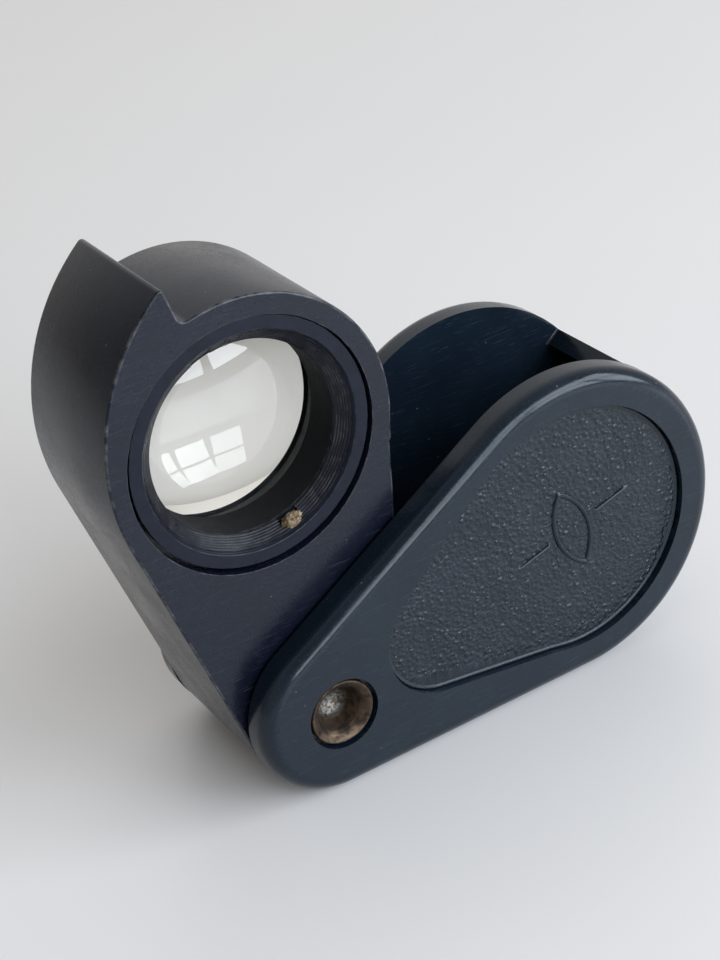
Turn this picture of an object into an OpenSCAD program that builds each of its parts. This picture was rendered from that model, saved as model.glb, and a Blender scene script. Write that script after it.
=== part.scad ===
// Folding viewing loupe: a lens holder swings out of a U-shaped case on a hollow rivet.
// Millimetres. +X runs along the flat flank that the case rests on, towards its big end; +Z is up; the
// front cheek faces -Y. The origin is in the middle of that flank, at mid thickness.

/* [Case] */
// Distance from the pivot to the centre of the case's big end
case_len = 28; // [27:0.5:30]
// Radius of the case's small end, round the pivot
small_r = 8.1; // [7.8:0.1:8.6]
// Radius of the case's big end
big_r = 15.6; // [15.4:0.1:16.5]
// Thickness of each cheek
cheek_t = 3.1; // [2.8:0.1:3.6]
// Radius of the rounded outer edge of the cheeks
edge_r = 1.6; // [0.8:0.1:2]
// Thickness of the wall that joins the two cheeks
web_t = 1.8; // [1.2:0.1:1.9]
// Where that wall starts, measured along the resting flank from below the pivot
web_start = 16.4; // [16.2:0.1:20]
// Where that wall ends, as an angle round the centre of the big end
web_end_deg = 38.5; // [20:0.5:38.5]

/* [Holder] */
// Thickness of the lens holder
holder_t = 14.8; // [14.6:0.1:16]
// Gap between the holder and the front cheek, filled by the front washer
front_gap = 0.5; // [0.3:0.1:0.8]
// Gap between the holder and the rear cheek, filled by the rear washer
rear_gap = 0.3; // [0.2:0.1:0.6]
// How far the holder stands open at rest, from folded
open_deg = 75.8; // [30:0.1:75.8]
// Distance from the pivot to the centre of the round head
head_at = 27.1; // [26.9:0.1:27.2]
// Radius of the round head
head_r = 13.75; // [13.5:0.05:13.8]
// Radius of the outer arc that carries the thumb horn
land_r = 20.1; // [19.8:0.1:20.2]
// Distance from the pivot to the tip of the thumb horn
horn_at = 44.5; // [44:0.1:44.6]

/* [Lens mount] */
// Distance from the pivot to the optical axis
optic_at = 27.4; // [27.2:0.1:27.5]
// Outer radius of the lens barrel
barrel_r = 11.2; // [11:0.05:11.25]
// Radius of the flange at the barrel's front, which sits in the holder's relief
flange_r = 11.4; // [11.25:0.05:11.4]
// How far the barrel's front rim lies below the holder's face
rim_depth = 0.2; // [0.2:0.1:0.8]
// Radius of the barrel's front bore, which takes the retaining ring
ring_seat_r = 9.95; // [9.8:0.05:10.1]
// Radius of the lens elements
lens_r = 9.2; // [9:0.05:9.25]
// Depth of the glass edge below the holder's face
glass_depth = 5.8; // [5.6:0.1:6]
// Curvature radius of the outer glass surfaces
outer_curve = 20; // [19:0.5:24]
// Curvature radius of the cemented surfaces
cement_curve = 14; // [13.5:0.5:16]
// Centre thickness of each flint element
flint_t = 1.2; // [1.1:0.1:1.3]
// Edge thickness of the crown element
crown_edge = 1; // [0.9:0.1:1.1]

/* [Pivot] */
// Radius of the rivet's shank
shank_r = 2.4; // [2.2:0.1:2.6]
// Radius of the rivet's flared rim and of its head
rim_r = 3.2; // [3:0.1:3.4]
// Radius of the counterbores that hold the rivet's two ends
seat_r = 3.5; // [3.4:0.1:3.8]
// Outer radius of the friction washers
washer_r = 5.5; // [4.5:0.1:6.5]

/* [Grip panels] */
// Depth of the recess in each cheek
recess_depth = 0.95; // [0.7:0.05:1.2]
// Radius of the recess at the big end
recess_big_r = 12.4; // [11.5:0.1:12.8]
// Radius of the recess at the small end
recess_small_r = 6.2; // [5.5:0.1:6.6]
// Thickness of the panel's grained field
panel_t = 0.25; // [0.2:0.05:0.6]
// Width of the raised border round that field
border_w = 0.3; // [0.2:0.05:0.8]
// Height of that border above the field
border_h = 0.1; // [0.05:0.05:0.35]
// Gap between the panel's edge and the recess wall
panel_gap = 0.1; // [0.05:0.05:0.3]
// Height of the raised emblem on the front panel
emblem_h = 0.18; // [0.08:0.02:0.2]

/* [Hidden] */
$fn = 96;

// Small distances
far = 100;                         // longer than anything here
over = 1;                          // how far a cutter runs past what it cuts
fit_gap = 0.05;                    // running or screwed fit, on the radius
skin_gap = 0.02;                   // cement layer, or film of grease
tuck = 0.004;                      // how far a tangent line is tucked into the arcs it joins

// Stations along Y, from the front face to the rear face
case_t = 2 * cheek_t + front_gap + holder_t + rear_gap;
front_y = -case_t / 2;
rear_y = case_t / 2;
slot_front_y = front_y + cheek_t;
slot_rear_y = rear_y - cheek_t;
holder_front_y = slot_front_y + front_gap;
holder_rear_y = slot_rear_y - rear_gap;

// The case's outline: its small end sits over the pivot, and its axis climbs at axis_deg
axis_deg = asin((big_r - small_r) / case_len);
flank_len = case_len * cos(axis_deg);
pivot_x = -flank_len / 2;
pivot_z = small_r;
big_c = case_len * [cos(axis_deg), sin(axis_deg)];

// The holder's outline, drawn in its folded place with the pivot at [0, 0]
boss_r = small_r - fit_gap;        // round the pivot, just inside the case's outline
head_c = polar(head_at, 19.8);
optic_c = polar(optic_at, 19.4);
relief_c = optic_c - polar(0.25, 19.4);
relief_r = flange_r + 0.28;
relief_depth = 1.6;
land_c = polar(case_len + 0.2, 5.5);
horn_deg = 24.5;
horn_tip = polar(horn_at, horn_deg);
horn_root = polar(horn_at - 4, 23.85);

// Stations of the lens mount along Y
barrel_front_y = holder_front_y + rim_depth;
lip_t = 1;                         // the holder's rear lip, which the barrel stops against
lip_r = barrel_r - 0.9;
barrel_rear_y = holder_rear_y - lip_t - fit_gap;
ring_front_y = barrel_front_y + 0.05;
ring_len = 1.5;
ring_rear_y = ring_front_y + ring_len;
ring_mouth_r = ring_seat_r - 0.2;
ring_throat_r = lens_r - 0.4;
ring_steps = 6;                    // turned grooves in the ring's cone
sleeve_r = lens_r - 0.4;
sleeve_front_y = ring_rear_y + skin_gap;
glass_y = holder_front_y + glass_depth;
notch_w = 2;
notch_deg = 31.2;

// The cemented triplet
outer_sag = sag(outer_curve, lens_r);
cement_sag = sag(cement_curve, lens_r);
flint_edge = flint_t + cement_sag - outer_sag;
crown_t = crown_edge + 2 * cement_sag;
crown_edge_y = glass_y + flint_edge + skin_gap;
rear_flint_y = crown_edge_y + crown_edge + skin_gap;
rear_glass_y = rear_flint_y + flint_edge;
rear_seat_r = lens_r - 0.6;
rear_seat_y = rear_glass_y + outer_sag - sag(outer_curve, rear_seat_r) + skin_gap;
sleeve_rear_y = glass_y - outer_sag + sag(outer_curve, sleeve_r) - skin_gap;

// The rivet
seat_depth = 1;
rim_below = 0.25;                  // how far the flared rim lies below the cheek's face
cup_r = 1.6;                       // at the cup's rounded floor
cup_mouth_r = 2.9;
cup_depth = 3;
head_t = 0.7;

// The grip panels: an egg of three circles in the pivot's frame
recess_big_c = polar(27.6, axis_deg + 0.4);
recess_mid_c = polar(25.9, axis_deg + 1.4);
recess_mid_r = recess_big_r - 0.4;
recess_small_c = polar(12, axis_deg + 1.5);
field_drop = 0.01;                 // how far the emblem's foot sinks into the field

function polar(r, a) = r * [cos(a), sin(a)];
function sag(curve, r) = curve - sqrt(curve * curve - r * r);
// the unit normal of the outer tangent that touches circles (a, ra) and (b, rb), on side +1 or -1
function tangent_n(a, ra, b, rb, side) =
    let(d = b - a, l = norm(d), u = d / l, k = (ra - rb) / l)
    k * u + side * sqrt(1 - k * k) * [-u[1], u[0]];

// outline of two circles and the tangents that join them
module tear2d(a, ra, b, rb) {
    up = tangent_n(a, ra, b, rb, 1);
    down = tangent_n(a, ra, b, rb, -1);
    translate(a) circle(ra);
    translate(b) circle(rb);
    polygon([a + (ra - tuck) * down, b + (rb - tuck) * down, b + (rb - tuck) * up, a + (ra - tuck) * up]);
}

// an (x, z) outline made solid between two stations along Y
module slab(y0, y1) {
    translate([0, y1, 0]) rotate([90, 0, 0]) linear_extrude(y1 - y0) children();
}

// a cylinder along Y, round [x, z], between two stations
module rod(c, r, y0, y1) {
    translate([c[0], y1, c[1]]) rotate([90, 0, 0]) cylinder(r = r, h = y1 - y0);
}

// a profile of [radius, y] points turned about the Y axis through c
module turned(c, points) {
    translate([c[0], 0, c[1]]) rotate([-90, 0, 0]) rotate_extrude() polygon(points);
}

module at_pivot() {
    translate([pivot_x, 0, pivot_z]) children();
}

// what belongs to the holder is drawn folded, then swung open
module swung() {
    at_pivot() rotate([0, -open_deg, 0]) children();
}

// ---- the case ----

// a drum along Y with rounded rims: its hull with another makes the case's rounded body
module rounded_drum(c, r) {
    arc = [for (i = [0:6]) i * 15];
    front = [for (a = arc) [r - edge_r + edge_r * sin(a), front_y + edge_r - edge_r * cos(a)]];
    rear = [for (a = arc) [r - edge_r + edge_r * cos(a), rear_y - edge_r + edge_r * sin(a)]];
    translate([c[0], 0, c[1]]) rotate([-90, 0, 0])
        rotate_extrude($fn = 72) polygon(concat([[0, front_y]], front, rear, [[0, rear_y]]));
}

// the wall between the cheeks: a band inside the outline, along the flank and round the big end
module web2d() {
    difference() {
        intersection() {
            tear2d([0, 0], small_r + over, big_c, big_r + over);
            union() {
                translate([web_start, -far]) square([far, far]);
                polygon([big_c, big_c + polar(far, web_end_deg), big_c + [far, -far], big_c - [0, far]]);
            }
        }
        tear2d([0, 0], small_r - web_t, big_c, big_r - web_t);
    }
}

module case_slot() {
    slab(slot_front_y, slot_rear_y) difference() {
        translate([-far, -far]) square(2 * far);
        web2d();
    }
}

module panel_outline(inset) {
    tear2d(recess_small_c, recess_small_r - inset, recess_mid_c, recess_mid_r - inset);
    tear2d(recess_mid_c, recess_mid_r - inset, recess_big_c, recess_big_r - inset);
}

module case_bores() {
    rod([0, 0], shank_r + skin_gap, front_y - over, rear_y + over);
    rod([0, 0], seat_r, front_y - over, front_y + seat_depth);
    rod([0, 0], seat_r, rear_y - seat_depth, rear_y + over);
}

module case() {
    color([0.06, 0.065, 0.075]) at_pivot() difference() {
        hull() {
            rounded_drum([0, 0], small_r);
            rounded_drum(big_c, big_r);
        }
        case_slot();
        slab(front_y - over, front_y + recess_depth) panel_outline(0);
        slab(rear_y - recess_depth, rear_y + over) panel_outline(0);
        case_bores();
    }
}

// ---- the grip panels ----

// a thin outline of a double-convex lens with its optical axis
module emblem2d() {
    line = 0.45;
    bulge_r = 6.2;
    shift = bulge_r - 2;
    difference() {
        intersection() {
            translate([shift, 0]) circle(bulge_r);
            translate([-shift, 0]) circle(bulge_r);
        }
        intersection() {
            translate([shift, 0]) circle(bulge_r - line);
            translate([-shift, 0]) circle(bulge_r - line);
        }
    }
    for (side = [-1, 1]) translate([side * 4.6 - 1.7, -line / 2]) square([3.4, line]);
}

// floor_y is the recess floor; out is -1 on the front cheek and 1 on the rear cheek
module grip_plate(floor_y, out) {
    foot_y = floor_y + out * skin_gap;
    field_y = floor_y + out * panel_t;
    rim_y = field_y + out * border_h;
    difference() {
        slab(min(foot_y, rim_y), max(foot_y, rim_y)) panel_outline(panel_gap);
        slab(min(field_y, rim_y + out), max(field_y, rim_y + out)) panel_outline(panel_gap + border_w);
    }
}

module front_grip_panel() {
    floor_y = front_y + recess_depth;
    field_y = floor_y - panel_t;
    color([0.05, 0.055, 0.065]) at_pivot() {
        grip_plate(floor_y, -1);
        slab(field_y - emblem_h, field_y + field_drop)
            translate(recess_big_c) rotate(axis_deg) emblem2d();
    }
}

module rear_grip_panel() {
    color([0.05, 0.055, 0.065]) at_pivot() grip_plate(rear_y - recess_depth, 1);
}

// ---- the holder ----

// the open side: a flank and a wide arc that ends in the thumb horn
module land2d() {
    intersection() {
        tear2d([0, 0], boss_r, land_c, land_r);
        polygon([[0, 0], head_c, horn_root, horn_tip, polar(far, horn_deg), polar(far, 150)]);
    }
}

// the side that folds into the case: a flank and the round head, up to the horn's root
module inner_side2d() {
    intersection() {
        tear2d([0, 0], boss_r, head_c, head_r);
        polygon([[0, 0], polar(far, -95), polar(far, -40), polar(far, horn_deg - 0.4)]);
    }
}

module holder2d() {
    circle(boss_r);
    inner_side2d();
    land2d();
}

module lens_holder() {
    color([0.075, 0.08, 0.09]) swung() difference() {
        slab(holder_front_y, holder_rear_y) holder2d();
        rod([0, 0], shank_r + fit_gap, holder_front_y - over, holder_rear_y + over);
        rod(optic_c, barrel_r + fit_gap, holder_front_y - over, holder_rear_y - lip_t);
        rod(optic_c, lip_r, holder_front_y, holder_rear_y + over);
        rod(relief_c, relief_r, holder_front_y - over, holder_front_y + relief_depth);
    }
}

// ---- the lens mount ----

module lens_barrel() {
    chamfer = 0.3;
    color([0.05, 0.055, 0.06]) swung() turned(optic_c, [
        [ring_seat_r, barrel_front_y],
        [flange_r - chamfer, barrel_front_y],
        [flange_r, barrel_front_y + chamfer],
        [flange_r, holder_front_y + relief_depth - skin_gap],
        [barrel_r, holder_front_y + relief_depth - skin_gap],
        [barrel_r, barrel_rear_y],
        [rear_seat_r + 0.6, barrel_rear_y],
        [rear_seat_r, rear_seat_y + 0.5],
        [rear_seat_r, rear_seat_y],
        [lens_r + fit_gap, rear_seat_y],
        [lens_r + fit_gap, ring_rear_y],
        [ring_seat_r, ring_rear_y]
    ]);
}

// the screwed ring: a cone of turned grooves with two spanner notches
module front_retaining_ring() {
    step = ring_len / ring_steps;
    fall = (ring_mouth_r - ring_throat_r) / ring_steps;
    grooves = [for (i = [0:ring_steps - 1], k = [0, 1])
        [ring_mouth_r - fall * (i + k), ring_front_y + step * (i + 0.5)]];
    color([0.09, 0.09, 0.1]) swung() difference() {
        turned(optic_c, concat([[ring_mouth_r, ring_front_y]], grooves,
            [[ring_throat_r, ring_rear_y - skin_gap],
             [ring_seat_r - skin_gap, ring_rear_y - skin_gap],
             [ring_seat_r - skin_gap, ring_front_y]]));
        for (turn = [0, 180])
            translate([optic_c[0], 0, optic_c[1]]) rotate([0, -notch_deg - turn, 0])
                translate([ring_throat_r - over, ring_front_y - over, -notch_w / 2])
                    cube([over + 0.75, ring_len + 2 * over, notch_w]);
    }
}

module spacer_sleeve() {
    color([0.03, 0.03, 0.035]) swung() difference() {
        rod(optic_c, lens_r, sleeve_front_y, sleeve_rear_y);
        rod(optic_c, sleeve_r, sleeve_front_y - over, glass_y + over);
    }
}

// a ball of glass whose front or rear pole is at pole_y
module ball(pole_y, curve, faces_front) {
    centre_y = faces_front ? pole_y + curve : pole_y - curve;
    translate([optic_c[0], centre_y, optic_c[1]]) rotate([90, 0, 0]) sphere(curve);
}

module front_flint_lens() {
    color([0.85, 0.88, 0.88, 0.5]) swung() difference() {
        intersection() {
            rod(optic_c, lens_r, glass_y - outer_sag - over, glass_y + flint_edge);
            ball(glass_y - outer_sag, outer_curve, true);
        }
        ball(glass_y - outer_sag + flint_t, cement_curve, true);
    }
}

module crown_lens() {
    color([0.88, 0.9, 0.88, 0.5]) swung() intersection() {
        rod(optic_c, lens_r, crown_edge_y - cement_sag - over, crown_edge_y + crown_edge + cement_sag + over);
        ball(crown_edge_y - cement_sag, cement_curve, true);
        ball(crown_edge_y + crown_edge + cement_sag, cement_curve, false);
    }
}

module rear_flint_lens() {
    color([0.85, 0.88, 0.88, 0.5]) swung() difference() {
        intersection() {
            rod(optic_c, lens_r, rear_flint_y, rear_glass_y + outer_sag + over);
            ball(rear_glass_y + outer_sag, outer_curve, false);
        }
        ball(rear_glass_y + outer_sag - flint_t, cement_curve, false);
    }
}

// ---- the pivot ----

// a semi-tubular rivet: flared open end at the front, flat head at the rear
module pivot_rivet() {
    flare_y = front_y + seat_depth - skin_gap;
    rim_y = front_y + rim_below;
    head_y = rear_y - seat_depth + skin_gap;
    color([0.42, 0.32, 0.2]) at_pivot() turned([0, 0], [
        [0, rim_y + cup_depth],
        [cup_r - 0.7, rim_y + cup_depth],
        [cup_r, rim_y + cup_depth - 0.5],
        [cup_r + 0.3, rim_y + 1.5],
        [cup_mouth_r, rim_y + 0.2],
        [cup_mouth_r + 0.1, rim_y],
        [rim_r - 0.1, rim_y],
        [rim_r, rim_y + 0.15],
        [rim_r, flare_y],
        [shank_r, flare_y],
        [shank_r, head_y],
        [rim_r, head_y],
        [rim_r, head_y + head_t - 0.2],
        [rim_r - 0.3, head_y + head_t],
        [0, head_y + head_t]
    ]);
}

module washer(y0, y1) {
    color([0.5, 0.42, 0.3]) at_pivot() difference() {
        rod([0, 0], washer_r, y0 + skin_gap, y1 - skin_gap);
        rod([0, 0], shank_r + fit_gap, y0 - over, y1 + over);
    }
}

module front_washer() {
    washer(slot_front_y, holder_front_y);
}

module rear_washer() {
    washer(holder_rear_y, slot_rear_y);
}

case();
front_grip_panel();
rear_grip_panel();
lens_holder();
lens_barrel();
front_retaining_ring();
spacer_sleeve();
front_flint_lens();
crown_lens();
rear_flint_lens();
pivot_rivet();
front_washer();
rear_washer();
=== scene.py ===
import math

import bmesh
import bpy
import numpy as np
from mathutils import Matrix, Vector, noise
from mathutils.geometry import delaunay_2d_cdt


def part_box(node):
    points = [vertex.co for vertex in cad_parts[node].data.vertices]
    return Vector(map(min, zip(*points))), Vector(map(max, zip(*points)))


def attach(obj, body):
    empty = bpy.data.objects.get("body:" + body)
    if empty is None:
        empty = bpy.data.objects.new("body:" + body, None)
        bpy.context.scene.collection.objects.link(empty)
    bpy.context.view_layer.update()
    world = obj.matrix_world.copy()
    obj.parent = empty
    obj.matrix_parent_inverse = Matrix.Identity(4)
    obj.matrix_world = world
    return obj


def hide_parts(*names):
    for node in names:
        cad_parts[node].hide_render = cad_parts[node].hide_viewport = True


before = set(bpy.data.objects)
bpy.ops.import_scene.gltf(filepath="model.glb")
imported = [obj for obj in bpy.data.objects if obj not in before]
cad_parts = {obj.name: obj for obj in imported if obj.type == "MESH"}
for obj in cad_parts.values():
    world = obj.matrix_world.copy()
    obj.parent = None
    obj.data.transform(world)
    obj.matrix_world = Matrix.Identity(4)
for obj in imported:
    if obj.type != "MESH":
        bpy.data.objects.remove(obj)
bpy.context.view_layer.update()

MM = 0.001


# ---------------------------------------------------------------- small geometry

def polar(r, deg):
    return np.array([r * math.cos(math.radians(deg)), r * math.sin(math.radians(deg))])


def centre_of(node):
    lo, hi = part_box(node)
    return np.array([(lo.x + hi.x) / 2, (lo.z + hi.z) / 2]) / MM


def span_of(node):
    lo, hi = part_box(node)
    return lo.y / MM, hi.y / MM


def angle_of(v):
    return math.degrees(math.atan2(v[1], v[0]))


def unit(v):
    v = np.array(v, float)
    return v / np.linalg.norm(v)


def arc(c, r, a0, a1, n):
    """n + 1 points of an arc round c, from a0 to a1 degrees."""
    a = np.radians(np.linspace(a0, a1, n + 1))
    return [np.array([c[0] + r * math.cos(t), c[1] + r * math.sin(t)]) for t in a]


def line(a, b, n):
    a, b = np.array(a, float), np.array(b, float)
    return [a + (b - a) * k / n for k in range(n + 1)]


def joined(*runs):
    """Runs of points as one closed loop, without doubled points."""
    out = []
    for run in runs:
        for p in run:
            if not out or np.linalg.norm(p - out[-1]) > 1e-4:
                out.append(p)
    if np.linalg.norm(out[0] - out[-1]) < 1e-4:
        out.pop()
    return np.array(out)


def tangent_n(a, ra, b, rb, side):
    """Unit normal of the outer tangent of two circles."""
    d = b - a
    l = np.linalg.norm(d)
    u = d / l
    k = (ra - rb) / l
    return k * u + side * math.sqrt(1 - k * k) * np.array([-u[1], u[0]])


def tear(a, ra, b, rb, n_big=120, n_small=72, n_line=24):
    """Counter-clockwise outline of two circles and their outer tangents."""
    a, b = np.array(a, float), np.array(b, float)
    up, down = tangent_n(a, ra, b, rb, 1), tangent_n(a, ra, b, rb, -1)
    d0, u0 = angle_of(down), angle_of(up)
    big = arc(b, rb, d0, u0 if u0 > d0 else u0 + 360, n_big)
    small = arc(a, ra, u0, d0 if d0 > u0 else d0 + 360, n_small)
    return joined(big, line(big[-1], small[0], n_line), small, line(small[-1], big[0], n_line))


def normals_of(loop):
    """Outward normals of a counter-clockwise loop."""
    t = np.roll(loop, -1, 0) - np.roll(loop, 1, 0)
    n = np.stack([t[:, 1], -t[:, 0]], 1)
    return n / np.linalg.norm(n, axis=1)[:, None]


def inset(loop, d, normals=None):
    return loop - d * (normals_of(loop) if normals is None else normals)


def at(loop, y, origin=(0, 0)):
    """(x, z) points as 3-D points on the plane at y."""
    return [(p[0] + origin[0], y, p[1] + origin[1]) for p in loop]


def eased(points, radius, steps=3, closed=True):
    """A profile with its corners rounded."""
    pts = [np.array(p, float) for p in points]
    out = []
    for i, p in enumerate(pts):
        if not closed and i in (0, len(pts) - 1):
            out.append(p)
            continue
        a, b = pts[i - 1], pts[(i + 1) % len(pts)]
        ua, ub = unit(a - p), unit(b - p)
        turn = math.acos(max(-1, min(1, float(ua @ ub))))
        if turn > math.radians(172):
            out.append(p)
            continue
        room = 0.45 * min(np.linalg.norm(a - p), np.linalg.norm(b - p))
        reach = min(radius / math.tan(turn / 2), room)
        p0, p1 = p + ua * reach, p + ub * reach
        for k in range(steps + 1):
            t = k / steps
            out.append((1 - t) ** 2 * p0 + 2 * t * (1 - t) * p + t ** 2 * p1)
    return out


# ---------------------------------------------------------------- meshes

class Shell:
    """A mesh made ring by ring, in millimetres."""

    def __init__(self):
        self.bm = bmesh.new()

    def ring(self, pts):
        return [self.bm.verts.new(p) for p in pts]

    def skin(self, a, b):
        n = len(a)
        for i in range(n):
            j = (i + 1) % n
            if len(b) == 1:
                self.bm.faces.new((a[i], a[j], b[0]))
            else:
                self.bm.faces.new((a[i], a[j], b[j], b[i]))

    def rise(self, rings):
        for a, b in zip(rings, rings[1:]):
            if len(a) == 1:
                for i in range(len(b)):
                    self.bm.faces.new((a[0], b[(i + 1) % len(b)], b[i]))
            else:
                self.skin(a, b)

    def cap(self, ring):
        self.bm.faces.new(ring)

    def plate(self, *rings):
        """A flat face between an outer ring and the rings of its holes."""
        edges = []
        for r in rings:
            for i in range(len(r)):
                pair = (r[i], r[(i + 1) % len(r)])
                edges.append(self.bm.edges.get(pair) or self.bm.edges.new(pair))
        bmesh.ops.triangle_fill(self.bm, use_beauty=True, use_dissolve=False, edges=edges)

    def mesh(self, name):
        bmesh.ops.recalc_face_normals(self.bm, faces=self.bm.faces)
        me = bpy.data.meshes.new(name)
        self.bm.to_mesh(me)
        self.bm.free()
        me.transform(Matrix.Scale(MM, 4))
        return me


def circle_pts(c, r, y, n):
    return [(c[0] + r * math.cos(2 * math.pi * k / n), y, c[1] + r * math.sin(2 * math.pi * k / n))
            for k in range(n)]


def lathe(shell, c, profile, n=192, closed=True):
    """Turns (radius, y) points about the Y axis through c."""
    rings = [shell.ring([(c[0], y, c[1])]) if r < 1e-6 else shell.ring(circle_pts(c, r, y, n))
             for r, y in profile]
    if closed:
        rings.append(rings[0])
    shell.rise(rings)


def link(me, name):
    o = bpy.data.objects.new(name, me)
    bpy.context.scene.collection.objects.link(o)
    return o


def skinned(name, rings):
    """A closed piece through rings of points, with flat ends."""
    s = Shell()
    made = [s.ring(r) for r in rings]
    s.rise(made)
    s.cap(made[0])
    s.cap(made[-1])
    return link(s.mesh(name), name)


def rounding(radius, y, steps):
    """(inset, y) stations round an edge that starts on the plane at y."""
    turns = [math.radians(90 * k / steps) for k in range(steps + 1)]
    return [(radius * (1 - math.sin(t)), y + radius * (1 - math.cos(t))) for t in turns]


def smoothed(o, angle=38, flats=True):
    """Smooth shading that keeps sharp edges, with the flat faces across Y shaded exactly flat."""
    me = o.data
    count = len(me.polygons)
    me.polygons.foreach_set("use_smooth", np.ones(count, bool))
    me.set_sharp_from_angle(angle=math.radians(angle))
    if not flats:
        return
    face_n = np.zeros(count * 3, np.float32)
    me.polygons.foreach_get("normal", face_n)
    face_n = face_n.reshape(-1, 3)
    starts, totals = np.zeros(count, np.int32), np.zeros(count, np.int32)
    me.polygons.foreach_get("loop_start", starts)
    me.polygons.foreach_get("loop_total", totals)
    loops = len(me.loops)
    vert = np.zeros(loops, np.int32)
    me.loops.foreach_get("vertex_index", vert)
    owner = np.repeat(np.arange(count), totals)
    normal = np.zeros(loops * 3, np.float32)
    me.corner_normals.foreach_get("vector", normal)
    normal = normal.reshape(-1, 3).copy()
    limit = math.cos(math.radians(angle))
    for side in (-1, 1):
        flat = face_n[:, 1] * side > 0.99995
        touched = np.zeros(len(me.vertices), bool)
        touched[vert[flat[owner]]] = True
        pick = touched[vert] & (face_n[owner, 1] * side > limit)
        normal[pick] = (0, side, 0)
    me.normals_split_custom_set(normal.tolist())


def baked(o):
    """The object's mesh with its modifiers applied."""
    dg = bpy.context.evaluated_depsgraph_get()
    me = bpy.data.meshes.new_from_object(o.evaluated_get(dg))
    o.modifiers.clear()
    old = o.data
    o.data = me
    bpy.data.meshes.remove(old)
    return o


def cut(o, *cutters):
    for c in cutters:
        m = o.modifiers.new("cut", "BOOLEAN")
        m.operation = "DIFFERENCE"
        m.solver = "EXACT"
        m.object = c
    baked(o)
    for c in cutters:
        me = c.data
        bpy.data.objects.remove(c)
        bpy.data.meshes.remove(me)


def bevelled(o, width, segments=3, angle=32):
    m = o.modifiers.new("edges", "BEVEL")
    m.width = width * MM
    m.segments = segments
    m.limit_method = "ANGLE"
    m.angle_limit = math.radians(angle)
    m.use_clamp_overlap = True
    m.miter_outer = "MITER_ARC"
    baked(o)


def mark_edges(o, wide=0.35):
    """A face attribute that is 1 on the narrow faces of rounded edges, where wear shows."""
    me = o.data
    flags = np.zeros(len(me.polygons), np.float32)
    for p in me.polygons:
        co = [me.vertices[v].co for v in p.vertices]
        if len(co) > 4:
            continue
        sides = [(co[i] - co[i - 1]).length / MM for i in range(len(co))]
        if p.area / MM ** 2 / max(sides) < wide and 0.15 < abs(p.normal.y) < 0.985:
            flags[p.index] = 1
    a = me.attributes.new("edge_wear", "FLOAT", "FACE")
    a.data.foreach_set("value", flags)


def finish_piece(o, body, nodes, slot, *mats):
    o.data.materials.clear()
    for m in mats:
        o.data.materials.append(m)
    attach(o, body)
    if nodes:
        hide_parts(*nodes)
    return o


# ---------------------------------------------------------------- materials

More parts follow.
